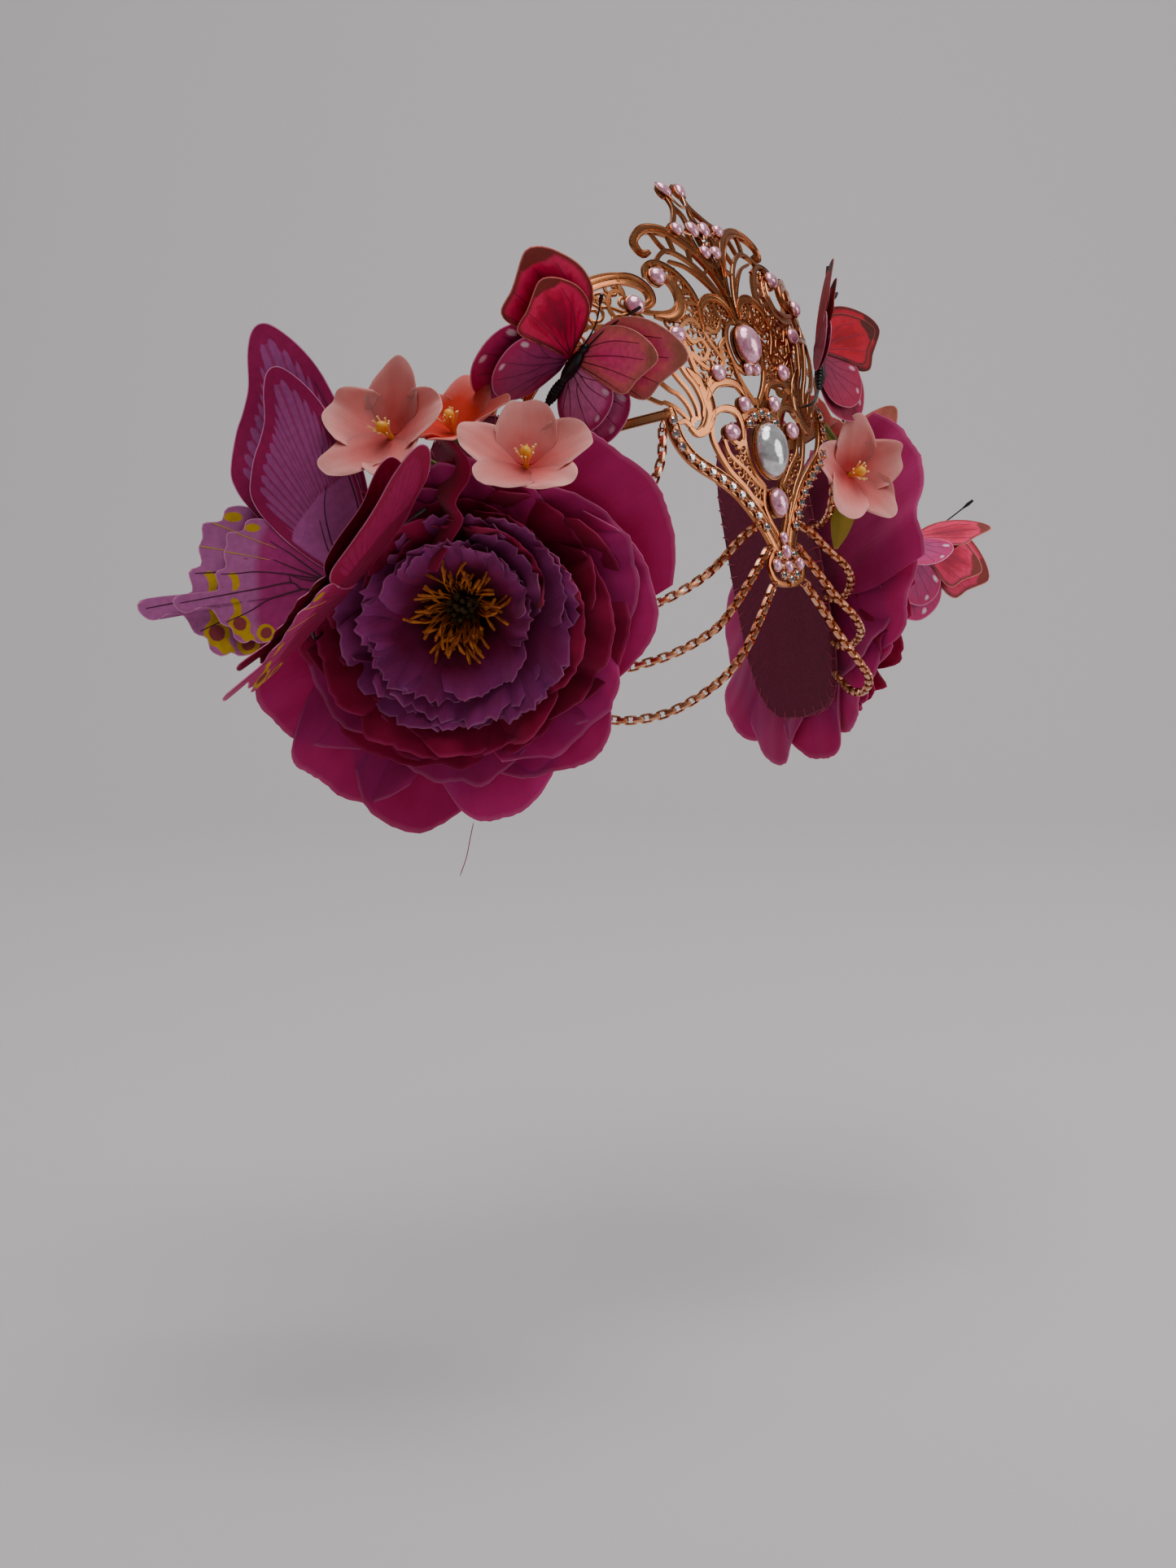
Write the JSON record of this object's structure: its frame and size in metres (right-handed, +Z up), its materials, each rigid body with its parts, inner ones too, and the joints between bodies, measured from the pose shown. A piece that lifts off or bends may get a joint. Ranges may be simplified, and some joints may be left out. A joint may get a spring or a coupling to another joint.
{
  "type": "flower diadem",
  "caption": "Pierced rose-gold stage crown with pink stones, hanging box chains, large silk peonies, small peach flowers and film butterflies at both sides.",
  "frame": {"origin": "on the axis of the wearer's head, at the height where the crown sits on the brow", "axes": "+Z up, -Y the way the wearer faces, +X the wearer's left"},
  "size_m": [0.3895, 0.1395, 0.228],
  "materials": {
    "rose_gold": "satin rose-gold plating",
    "crystal": "clear foil-backed cut stone",
    "pink_stone": "pink foil-backed cut stone",
    "felt": "stiff wine-red felt",
    "magenta_silk": "matt dyed silk cloth",
    "crimson_silk": "matt dyed silk cloth",
    "lilac_silk": "matt dyed silk cloth",
    "stamens": "dipped thread",
    "peach_silk": "sheer dyed cloth",
    "green_silk": "sheer dyed cloth",
    "film": "printed thin film",
    "purple_film": "printed thin film",
    "black_body": "black wound thread"
  },
  "bodies": {
    "root": {"arc_stones": "crystal", "blossom_left_back": "peach_silk", "blossom_left_front": "peach_silk", "blossom_right_back": "peach_silk", "blossom_right_front": "peach_silk", "blossom_right_middle": "peach_silk", "chain_corner_left": "rose_gold", "chain_corner_right": "rose_gold", "chain_lower_left": "rose_gold", "chain_lower_right": "rose_gold", "chain_middle_left": "rose_gold", "chain_middle_right": "rose_gold", "chain_upper_left": "rose_gold", "chain_upper_right": "rose_gold", "crimson_left_body": "black_body", "crimson_left_wings": "film", "crimson_right_body": "black_body", "crimson_right_wings": "film", "crown_plate": "rose_gold", "flower_pad_left": "felt", "flower_pad_right": "felt", "leaf": "green_silk", "peony_left_inner": "lilac_silk", "peony_left_middle": "crimson_silk", "peony_left_outer": "magenta_silk", "peony_left_stamens": "stamens", "peony_right_inner": "lilac_silk", "peony_right_middle": "crimson_silk", "peony_right_outer": "magenta_silk", "peony_right_stamens": "stamens", "plume_stones": "pink_stone", "rim_stones_left": "crystal", "rim_stones_right": "crystal", "ringlet_left_body": "black_body", "ringlet_left_wings": "film", "rosy_left_body": "black_body", "rosy_left_wings": "film", "stone_brow_pink": "pink_stone", "stone_centre_clear": "crystal", "stone_cheek_left": "pink_stone", "stone_cheek_right": "pink_stone", "stone_drop_pink": "pink_stone", "stone_lobe_left": "pink_stone", "stone_lobe_right": "pink_stone", "stone_moon_left": "pink_stone", "stone_moon_right": "pink_stone", "stone_scroll_left": "pink_stone", "stone_scroll_right": "pink_stone", "stone_shoulder_left": "pink_stone", "stone_shoulder_right": "pink_stone", "stone_side_left": "pink_stone", "stone_side_right": "pink_stone", "swallowtail_body": "black_body", "swallowtail_wings": "purple_film", "tail_stones": "crystal", "tip_stones": "pink_stone", "under_stones": "pink_stone"}
  },
  "joints": []
}
